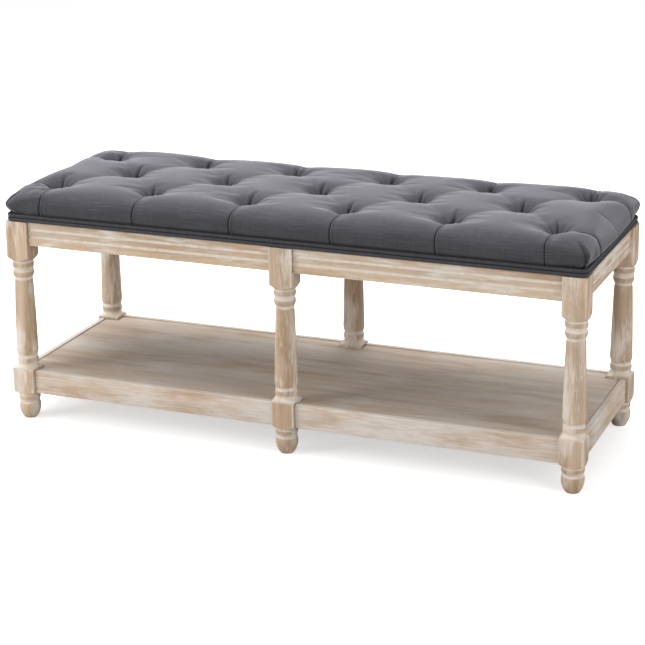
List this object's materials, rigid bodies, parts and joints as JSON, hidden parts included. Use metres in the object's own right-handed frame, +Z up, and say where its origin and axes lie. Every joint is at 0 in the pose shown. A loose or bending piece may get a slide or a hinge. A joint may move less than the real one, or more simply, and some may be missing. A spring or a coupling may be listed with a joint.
{
  "type": "upholstered bench",
  "caption": "Long backless bench with a diamond-tufted seat, double welt, turned legs, fluted aprons and a framed lower shelf.",
  "frame": {"origin": "on the floor under the middle of the bench", "axes": "+X along the bench to the right of someone facing its front, -Y towards the front, +Z up"},
  "size_m": [1.208, 0.4292, 0.4973],
  "materials": {
    "limed_leg_wood": "limed solid wood, white left in the turnings",
    "limed_rail_wood": "limed solid wood, white left in the flutes",
    "limed_panel_wood": "limed board, greyer wash",
    "plain_wood": "sanded, unfinished",
    "plywood": "unfinished plywood",
    "zinc_steel": "zinc plated",
    "tie_cord": "waxed cord",
    "seat_foam": "open cell foam",
    "seat_cloth": "plain weave, slate grey",
    "welt_cloth": "plain weave over cord, slate grey",
    "dust_cloth": "black spunbonded cloth"
  },
  "bodies": {
    "root": {"apron_back_left": "limed_rail_wood", "apron_back_right": "limed_rail_wood", "apron_front_left": "limed_rail_wood", "apron_front_right": "limed_rail_wood", "apron_left_end": "limed_rail_wood", "apron_right_end": "limed_rail_wood", "brace_screws": "zinc_steel", "corner_braces": "plain_wood", "double_welt": "welt_cloth", "dust_cloth": "dust_cloth", "leg_back_left": "limed_leg_wood", "leg_back_middle": "limed_leg_wood", "leg_back_right": "limed_leg_wood", "leg_bolt_nuts": "zinc_steel", "leg_bolts": "zinc_steel", "leg_front_left": "limed_leg_wood", "leg_front_middle": "limed_leg_wood", "leg_front_right": "limed_leg_wood", "seat_board": "plywood", "seat_cover": "seat_cloth", "seat_cross_rail": "plain_wood", "seat_foam": "seat_foam", "seat_frame_dowels": "plain_wood", "seat_screws": "zinc_steel", "shelf_cross_rail": "plain_wood", "shelf_frame_dowels": "plain_wood", "shelf_panel": "limed_panel_wood", "shelf_rail_back_left": "limed_rail_wood", "shelf_rail_back_right": "limed_rail_wood", "shelf_rail_front_left": "limed_rail_wood", "shelf_rail_front_right": "limed_rail_wood", "shelf_rail_left_end": "limed_rail_wood", "shelf_rail_right_end": "limed_rail_wood", "shelf_screws": "zinc_steel", "tuft_ties": "tie_cord"}
  },
  "joints": []
}
